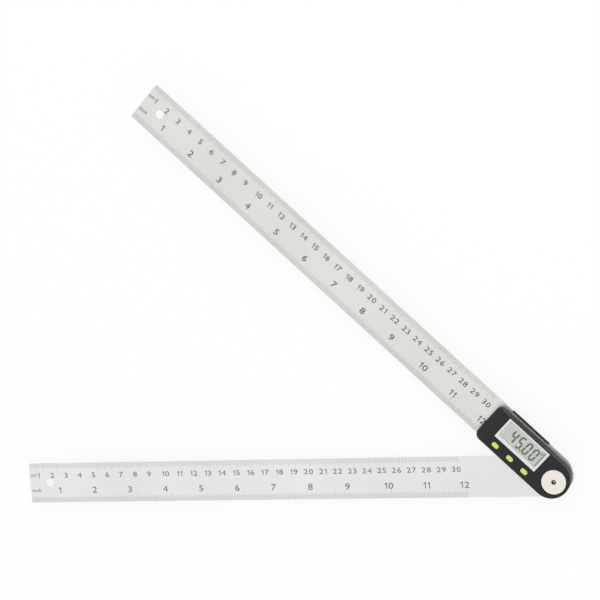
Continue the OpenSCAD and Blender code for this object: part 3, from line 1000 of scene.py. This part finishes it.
def domed_button(node):
    """A rubber push button: a domed oval cap over its flange and stem."""
    low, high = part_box(node)
    middle = ((low[0] + high[0]) / 2, (low[1] + high[1]) / 2)
    length, width = (high[k] - low[k] - 2 * FLANGE_LAP for k in (0, 1))
    flange_low = HEAD_BOX[1][2] - FLANGE_DEPTH - FLANGE_THICK
    cap = oval_plate(middle, flange_low, high[2] - CROWN, length, width)
    pick([cap])
    bpy.ops.object.mode_set(mode="EDIT")
    bpy.ops.mesh.select_mode(type="FACE")
    bpy.ops.mesh.select_all(action="DESELECT")
    bpy.ops.object.mode_set(mode="OBJECT")
    for face in cap.data.polygons:
        face.select = face.normal.z > 0.9
    bpy.ops.object.mode_set(mode="EDIT")
    # The top rises by a quarter of an ellipse, from the side wall inwards
    for i in range(CROWN_STEPS):
        here, there = (math.pi / 2 * k / CROWN_STEPS for k in (i, i + 1))
        bpy.ops.mesh.inset(
            thickness=width * CROWN_REACH * (math.cos(here) - math.cos(there)),
            depth=CROWN * (math.sin(there) - math.sin(here)),
        )
    bpy.ops.object.mode_set(mode="OBJECT")
    foot = oval_plate(
        middle,
        flange_low,
        flange_low + FLANGE_THICK,
        length + 2 * FLANGE_LAP,
        width + 2 * FLANGE_LAP,
    )
    deselect()
    bpy.ops.mesh.primitive_cylinder_add(
        vertices=32,
        radius=STEM_RADIUS,
        depth=flange_low - low[2],
        location=(*middle, (flange_low + low[2]) / 2),
    )
    stem = settle(bpy.context.object)
    piece = joined([cap, foot, stem], node + "_domed")
    bpy.ops.object.shade_smooth_by_angle(angle=math.radians(40))
    return piece


class ANGLEFINDER_OT_buttons(bpy.types.Operator):
    """The three domed push buttons"""

    bl_idname = "anglefinder.buttons"
    bl_label = "Buttons"

    def execute(self, context):
        for node, body in BUTTONS.items():
            piece = dress(domed_button(node), "button")
            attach(piece, body)
            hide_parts(node)
        return {"FINISHED"}


# ---------------------------------------------------------------- stage


# Place and size of each lamp, and its power against the key light's; all are aimed at one place
LAMPS = {
    "key": ((-0.75, 0.75, 1.15), 1.3, 1.0),
    "fill": ((0.9, -0.5, 1.0), 1.2, 0.45),
}
LAMPS_AIM = Vector((-0.15, -0.05, 0))
# Just under the knob's face, so that the two don't lie in one plane
FLOOR_HEIGHT = -0.1 * MM

# The camera's turn about X, Y and Z, the origin's place as it sees it, and its lens come from a
# fit to the numbers on the arms; lens and centre are in pixels of the square picture
CAMERA_TURN = (0.3064, -0.0766, -0.7435)
CAMERA_OFFSET = Vector((167.485, -87.315, -1473.339)) * MM
FOCAL_PX, CENTRE_PX, SIDE_PX = 2274.55, (300.0, 340.0), 600.0
SENSOR_MM = 36.0


def seen_directly(tree):
    """1 where a ray comes from the camera, a gloss or a clear piece, and 0 elsewhere."""
    path = add_node(tree, "LightPath")
    seen = path.outputs["Is Camera Ray"]
    for ray in ("Is Transmission Ray", "Is Glossy Ray"):
        either = add_node(tree, "Math", {"operation": "MAXIMUM"}, {0: seen, 1: path.outputs[ray]})
        seen = either.outputs["Value"]
    return seen


def white_paper(glow):
    """White paper in an overexposed studio shot: nearly white, with a faint shadow left."""
    made, tree, shader = new_material(
        "white_paper", {"Base Color": linear("#f6f6f6"), "Roughness": 0.9, "Specular IOR Level": 0.1}
    )
    light = add_node(tree, "Emission", {"Color": (1, 1, 1, 1), "Strength": 1.0})
    share = add_node(tree, "Math", {"operation": "MULTIPLY", 1: glow}, {0: seen_directly(tree)})
    mixed = add_node(
        tree,
        "MixShader",
        None,
        {0: share.outputs["Value"], 1: shader.outputs["BSDF"], 2: light.outputs["Emission"]},
    )
    # From below the paper is clear, so that the underside can be looked at
    side = add_node(tree, "NewGeometry")
    clear = add_node(tree, "BsdfTransparent")
    sided = add_node(
        tree,
        "MixShader",
        None,
        {0: side.outputs["Backfacing"], 1: mixed.outputs["Shader"], 2: clear.outputs["BSDF"]},
    )
    tree.links.new(sided.outputs["Shader"], tree.nodes["Material Output"].inputs["Surface"])
    return made


def white_sky(strength):
    """An even white light all round; the camera and the glosses see plain white instead."""
    world = bpy.data.worlds.new("white_studio")
    world.use_nodes = True
    tree = world.node_tree
    ground = tree.nodes["Background"]
    ground.inputs["Color"].default_value = (1, 1, 1, 1)
    level = add_node(tree, "MapRange", {"To Min": strength, "To Max": 1.0}, {"Value": seen_directly(tree)})
    tree.links.new(level.outputs["Result"], ground.inputs["Strength"])
    return world


def disc_lamp(name, place, size, power):
    """A round soft lamp, aimed at the arms."""
    lamp = bpy.data.lights.new(name, "AREA")
    lamp.shape = "DISK"
    lamp.size = size
    lamp.energy = power
    holder = bpy.data.objects.new(name, lamp)
    bpy.context.scene.collection.objects.link(holder)
    holder.location = place
    # Steel mirrors the white studio and not the lamps, so it keeps its colour from all sides
    holder.visible_glossy = False
    aim = LAMPS_AIM - Vector(place)
    holder.rotation_euler = aim.to_track_quat("-Z", "Y").to_euler()


def fitted_camera():
    """The camera that took the photo."""
    eye = bpy.data.cameras.new("camera")
    eye.sensor_width = SENSOR_MM
    eye.lens = FOCAL_PX / SIDE_PX * SENSOR_MM
    eye.shift_x = (SIDE_PX / 2 - CENTRE_PX[0]) / SIDE_PX
    eye.shift_y = (CENTRE_PX[1] - SIDE_PX / 2) / SIDE_PX
    eye.clip_end = 20
    holder = bpy.data.objects.new("camera", eye)
    bpy.context.scene.collection.objects.link(holder)
    about_x, about_y, about_z = (Matrix.Rotation(t, 3, k) for t, k in zip(CAMERA_TURN, "XYZ"))
    from_eye = (about_z @ about_y @ about_x).transposed()
    holder.matrix_world = Matrix.Translation(-(from_eye @ CAMERA_OFFSET)) @ from_eye.to_4x4()
    return holder


class ANGLEFINDER_OT_stage(bpy.types.Operator):
    """White floor, soft light and the camera"""

    bl_idname = "anglefinder.stage"
    bl_label = "Stage"

    def execute(self, context):
        scene = context.scene
        stage = scene.angle_finder_stage
        scene.view_settings.view_transform = "Standard"
        deselect()
        bpy.ops.mesh.primitive_plane_add(size=stage.floor_size, location=(0, 0, FLOOR_HEIGHT))
        floor = bpy.context.object
        floor.name = "floor"
        settle(floor)
        floor.data.materials.append(white_paper(stage.floor_glow))
        scene.world = white_sky(stage.sky)
        for name, (place, size, share) in LAMPS.items():
            disc_lamp(name, place, size, stage.key_power * share)
        scene.camera = fitted_camera()
        return {"FINISHED"}


# ---------------------------------------------------------------- panel and registration


class ANGLEFINDER_PT_panel(bpy.types.Panel):
    """Lists the steps that dress the angle finder"""

    bl_idname = "ANGLEFINDER_PT_panel"
    bl_label = "Angle Finder"
    bl_space_type = "VIEW_3D"
    bl_region_type = "UI"
    bl_category = "Angle Finder"

    def draw(self, context):
        for step in STEPS:
            self.layout.operator(step.bl_idname)


SETTINGS = {
    "angle_finder_finish": FinishSettings,
    "angle_finder_scale": ScaleSettings,
    "angle_finder_display": DisplaySettings,
    "angle_finder_stage": StageSettings,
}
STEPS = [
    ANGLEFINDER_OT_stage,
    ANGLEFINDER_OT_finishes,
    ANGLEFINDER_OT_eased,
    ANGLEFINDER_OT_buttons,
    ANGLEFINDER_OT_graduations,
    ANGLEFINDER_OT_display,
]


def register():
    """Adds the settings, the steps and the panel."""
    for name, group in SETTINGS.items():
        bpy.utils.register_class(group)
        setattr(bpy.types.Scene, name, bpy.props.PointerProperty(type=group))
    for step in STEPS:
        bpy.utils.register_class(step)
    bpy.utils.register_class(ANGLEFINDER_PT_panel)


def unregister():
    """Takes them away again."""
    bpy.utils.unregister_class(ANGLEFINDER_PT_panel)
    for step in reversed(STEPS):
        bpy.utils.unregister_class(step)
    for name, group in SETTINGS.items():
        delattr(bpy.types.Scene, name)
        bpy.utils.unregister_class(group)


def main():
    """Dresses the model, step by step."""
    register()
    bpy.ops.anglefinder.stage()
    bpy.ops.anglefinder.finishes()
    bpy.ops.anglefinder.eased()
    bpy.ops.anglefinder.buttons()
    bpy.ops.anglefinder.graduations()
    bpy.ops.anglefinder.display()


if __name__ == "__main__":
    main()
